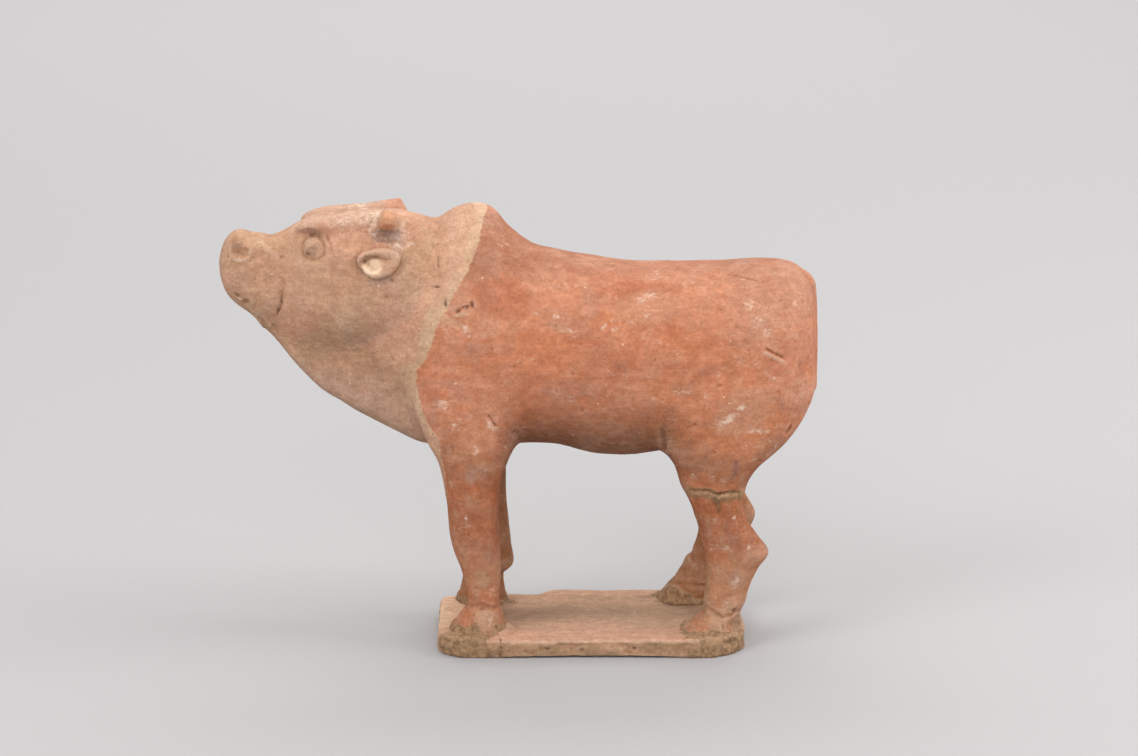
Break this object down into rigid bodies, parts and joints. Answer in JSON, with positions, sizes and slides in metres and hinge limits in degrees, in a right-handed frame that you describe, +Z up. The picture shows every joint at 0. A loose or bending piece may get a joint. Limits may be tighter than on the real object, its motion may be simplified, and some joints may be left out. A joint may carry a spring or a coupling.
{
  "type": "pottery tomb ox figure",
  "caption": "Hollow-moulded earthenware ox with a raised muzzle, shoulder hump, dewlap, cup ears and broken horn stubs, standing on a low slab plinth.",
  "frame": {"origin": "centre of the plinth's flat underside", "axes": "+X from the muzzle to the rump, so the ox faces -X; +Y towards the ox's right side, away from the camera of the picture; +Z up"},
  "size_m": [0.2493, 0.0775, 0.1852],
  "materials": {
    "ox_earthenware": "unglazed low-fired earthenware, orange red body, cream buff head and neck, soil in the recesses",
    "plinth_earthenware": "unglazed low-fired earthenware, tan and pinkish buff, sandy soil crust at the hooves"
  },
  "bodies": {
    "root": {"ox_figure": "ox_earthenware", "plinth": "plinth_earthenware"}
  },
  "joints": []
}
